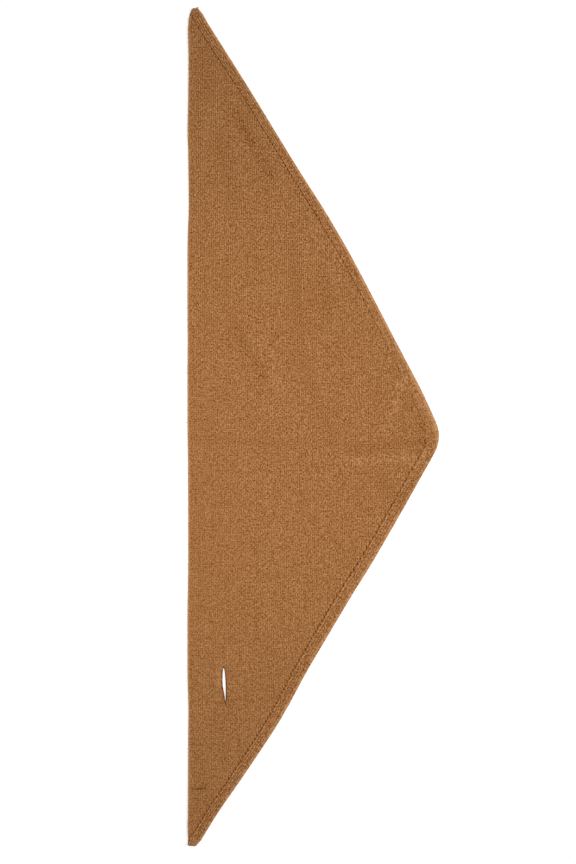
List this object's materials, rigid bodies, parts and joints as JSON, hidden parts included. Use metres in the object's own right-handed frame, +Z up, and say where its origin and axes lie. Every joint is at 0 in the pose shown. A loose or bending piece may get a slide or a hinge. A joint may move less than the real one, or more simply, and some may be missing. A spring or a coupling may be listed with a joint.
{
  "type": "triangle shawl",
  "caption": "Knitted triangle shawl lying flat, with narrow borders on its slanted edges, rounded tips and a pull-through slit near one tip.",
  "frame": {"origin": "under the middle of the shawl's box, on the surface that it lies on", "axes": "+X from the straight edge to the wide corner, +Y along the straight edge to the upper tip, the one away from the slit, +Z up out of the knit's face"},
  "size_m": [0.45, 1.5, 0.0042],
  "materials": {
    "jersey": "camel jersey knit of a soft fuzzy yarn, matt",
    "border": "the same knit, its wales along the slanted edge, the outermost one rolled"
  },
  "bodies": {
    "root": {"body_panel": "jersey", "upper_border": "border", "lower_border": "border"}
  },
  "joints": []
}
